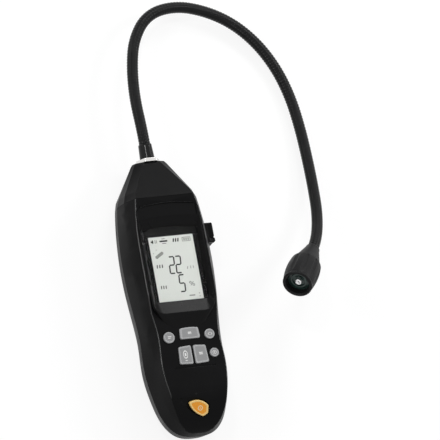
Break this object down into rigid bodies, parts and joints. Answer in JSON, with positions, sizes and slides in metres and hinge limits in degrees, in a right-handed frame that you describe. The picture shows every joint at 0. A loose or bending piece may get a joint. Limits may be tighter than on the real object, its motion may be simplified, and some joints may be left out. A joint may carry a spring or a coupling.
{
  "type": "gas leak detector",
  "caption": "Handheld gas leak detector: moulded housing with display and keys, tapered nose, a stiff flexible neck bent in an arch, and a round sensor head.",
  "frame": {"origin": "on the flat back, on the housing's centre line, 20 mm below the display's centre", "axes": "+Z out of the display face, +Y along the housing towards the nose, +X to the right of the display"},
  "size_m": [0.1774, 0.3523, 0.061],
  "materials": {
    "housing_plastic": "satin black",
    "bezel_plastic": "satin black",
    "window": "clear",
    "lcd": "liquid crystal grey",
    "inner_plastic": "matte",
    "board": "circuit board",
    "key_rubber": "soft grey",
    "power_plastic": "satin orange",
    "cell_jacket": "wrapped",
    "contact_steel": "plated",
    "nut_metal": "nickel plated",
    "neck_coating": "semi-gloss black",
    "sleeve_plastic": "gloss black",
    "head_plastic": "satin black",
    "sensor_dark": "gloss dark green",
    "sensor_silver": "bright"
  },
  "bodies": {
    "housing": {"front_housing": "housing_plastic", "rear_housing": "housing_plastic", "nose_cone": "housing_plastic", "display_bezel": "bezel_plastic", "display_window": "window", "lcd_panel": "lcd", "lcd_holder": "inner_plastic", "main_board": "board", "keypad_mat": "key_rubber", "power_board": "board", "buzzer": "inner_plastic", "battery_door": "housing_plastic", "door_screw": "contact_steel", "cells": "cell_jacket", "battery_contacts": "contact_steel", "housing_screws": "contact_steel", "earphone_socket": "inner_plastic", "port_pin": "contact_steel", "neck_nut": "nut_metal", "neck_lock_nut": "nut_metal", "neck_ferrule": "neck_coating", "neck_sleeve": "sleeve_plastic", "neck_stub": "neck_coating"},
    "key_top": {"key_top": "key_rubber"},
    "key_left": {"key_left": "key_rubber"},
    "key_right": {"key_right": "key_rubber"},
    "key_round_left": {"key_round_left": "key_rubber"},
    "key_round_right": {"key_round_right": "key_rubber"},
    "key_round_lower": {"key_round_lower": "key_rubber"},
    "power_key": {"power_key": "power_plastic"},
    "port_cover": {"port_cover": "housing_plastic"},
    "link_1": {"neck_link_1": "neck_coating"},
    "link_2": {"neck_link_2": "neck_coating"},
    "link_3": {"neck_link_3": "neck_coating"},
    "link_4": {"neck_link_4": "neck_coating"},
    "link_5": {"neck_link_5": "neck_coating"},
    "link_6": {"neck_link_6": "neck_coating"},
    "link_7": {"neck_link_7": "neck_coating"},
    "head": {"neck_end": "neck_coating", "head_boot": "head_plastic", "head_sleeve": "head_plastic", "head_ring": "head_plastic", "head_board": "board", "sensor_cell": "sensor_dark", "sensor_disc": "sensor_dark", "sensor_cap": "sensor_silver"}
  },
  "joints": [
    {"name": "key_top_press", "type": "slide", "parent": "housing", "child": "key_top", "axis": [0, 0, -1], "range_m": [0, 0.0008], "stiffness_N_per_m": 600},
    {"name": "key_left_press", "type": "slide", "parent": "housing", "child": "key_left", "axis": [0, 0, -1], "range_m": [0, 0.0008], "stiffness_N_per_m": 600},
    {"name": "key_right_press", "type": "slide", "parent": "housing", "child": "key_right", "axis": [0, 0, -1], "range_m": [0, 0.0008], "stiffness_N_per_m": 600},
    {"name": "key_round_left_press", "type": "slide", "parent": "housing", "child": "key_round_left", "axis": [0, 0, -1], "range_m": [0, 0.0008], "stiffness_N_per_m": 600},
    {"name": "key_round_right_press", "type": "slide", "parent": "housing", "child": "key_round_right", "axis": [0, 0, -1], "range_m": [0, 0.0008], "stiffness_N_per_m": 600},
    {"name": "key_round_lower_press", "type": "slide", "parent": "housing", "child": "key_round_lower", "axis": [0, 0, -1], "range_m": [0, 0.0008], "stiffness_N_per_m": 600},
    {"name": "power_key_press", "type": "slide", "parent": "housing", "child": "power_key", "axis": [0, 0.4432, -0.8964], "range_m": [0, 0.0008], "stiffness_N_per_m": 600},
    {"name": "port_cover_hinge", "type": "hinge", "parent": "housing", "child": "port_cover", "pos_m": [0.0375, 0.042, 0.027], "axis": [0, 0, -1], "range_deg": [0, 100]},
    {"name": "neck_turn_1", "type": "hinge", "parent": "housing", "child": "link_1", "pos_m": [-0.00044, 0.15134, 0.02148], "axis": [0, 0, 1], "range_deg": [-10, 20]},
    {"name": "neck_turn_2", "type": "hinge", "parent": "link_1", "child": "link_2", "pos_m": [0.00497, 0.20076, 0.01833], "axis": [0, 0, -1], "range_deg": [-20, 8]},
    {"name": "neck_turn_3", "type": "hinge", "parent": "link_2", "child": "link_3", "pos_m": [0.03668, 0.23581, 0.01365], "axis": [0, 0, -1], "range_deg": [-20, 8]},
    {"name": "neck_lift_4", "type": "hinge", "parent": "link_3", "child": "link_4", "pos_m": [0.08463, 0.2269, 0.00909], "axis": [-0.4695, -0.8829, 0], "range_deg": [0, 20]},
    {"name": "neck_turn_5", "type": "hinge", "parent": "link_4", "child": "link_5", "pos_m": [0.11973, 0.19238, 0.00564], "axis": [0, 0, 1], "range_deg": [-10, 20]},
    {"name": "neck_lift_6", "type": "hinge", "parent": "link_5", "child": "link_6", "pos_m": [0.13486, 0.1451, 0.00466], "axis": [-0.9925, -0.1219, 0], "range_deg": [0, 20]},
    {"name": "neck_turn_7", "type": "hinge", "parent": "link_6", "child": "link_7", "pos_m": [0.13704, 0.09527, 0.0073], "axis": [0, 0, -1], "range_deg": [-20, 20]},
    {"name": "neck_lift_8", "type": "hinge", "parent": "link_7", "child": "head", "pos_m": [0.13043, 0.04731, 0.01835], "axis": [-0.9455, 0.3256, 0], "range_deg": [-20, 20]}
  ]
}
